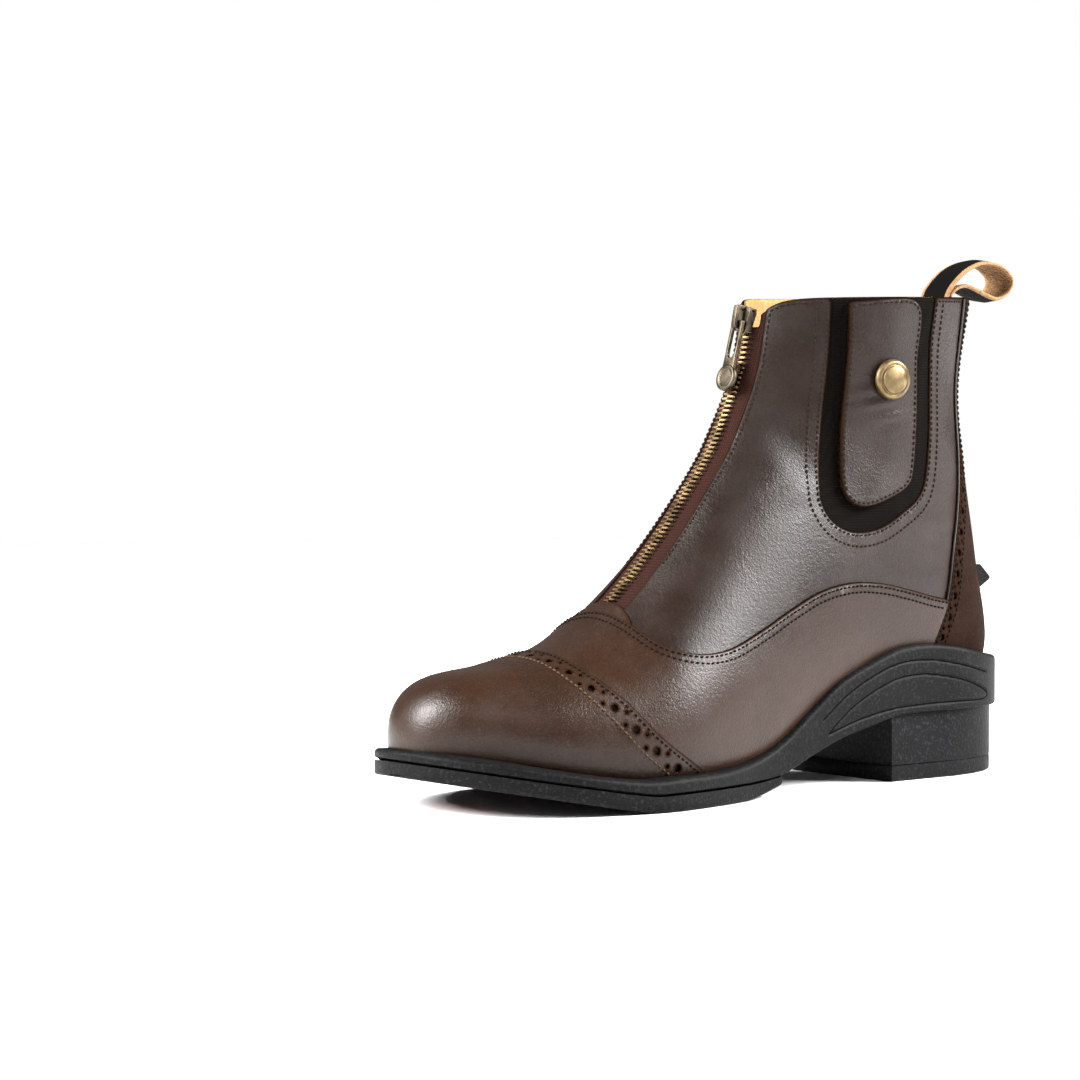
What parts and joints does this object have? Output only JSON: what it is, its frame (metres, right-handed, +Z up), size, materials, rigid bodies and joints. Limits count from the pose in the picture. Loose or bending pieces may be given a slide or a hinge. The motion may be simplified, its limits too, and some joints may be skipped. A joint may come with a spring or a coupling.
{
  "type": "paddock boot",
  "caption": "Ankle-high riding boot with a front zip, elastic side gores under leather tabs, a toe cap, a pull loop and a heeled moulded sole.",
  "frame": {"origin": "middle of the heel's bottom face, on the floor", "axes": "+Z up, +Y from toe to heel, +X to the outer side of the left foot"},
  "size_m": [0.1098, 0.2955, 0.2024],
  "materials": {
    "leather": "oiled nubuck, satin",
    "vamp_leather": "smooth, waxed",
    "rubber": "matt",
    "tread_red": "matt",
    "elastic": "ribbed",
    "tape_cloth": "woven",
    "antique_brass": "antique, satin",
    "webbing": "woven",
    "footbed": "smooth"
  },
  "bodies": {
    "boot": {"upper": "leather", "insole": "footbed", "sole_unit": "rubber", "outsole": "rubber", "tread_insert_1": "tread_red", "tread_insert_2": "tread_red", "tread_insert_3": "tread_red", "heel_block": "rubber", "heel_lift": "rubber", "heel_insert": "tread_red", "vamp": "vamp_leather", "toe_cap": "vamp_leather", "backstrip": "leather", "gore_outer": "elastic", "gore_inner": "elastic", "tab_outer": "leather", "tab_inner": "leather", "snap_button": "antique_brass", "zip_tape": "tape_cloth", "zip_teeth": "antique_brass", "zip_slider": "antique_brass", "pull_loop": "webbing", "spur_rest": "rubber"},
    "pull": {"zip_pull": "antique_brass"}
  },
  "joints": [
    {"name": "pull_hinge", "type": "hinge", "parent": "boot", "child": "pull", "pos_m": [0, -0.08444, 0.17724], "axis": [-1, 0, 0], "range_deg": [0, 160]}
  ]
}
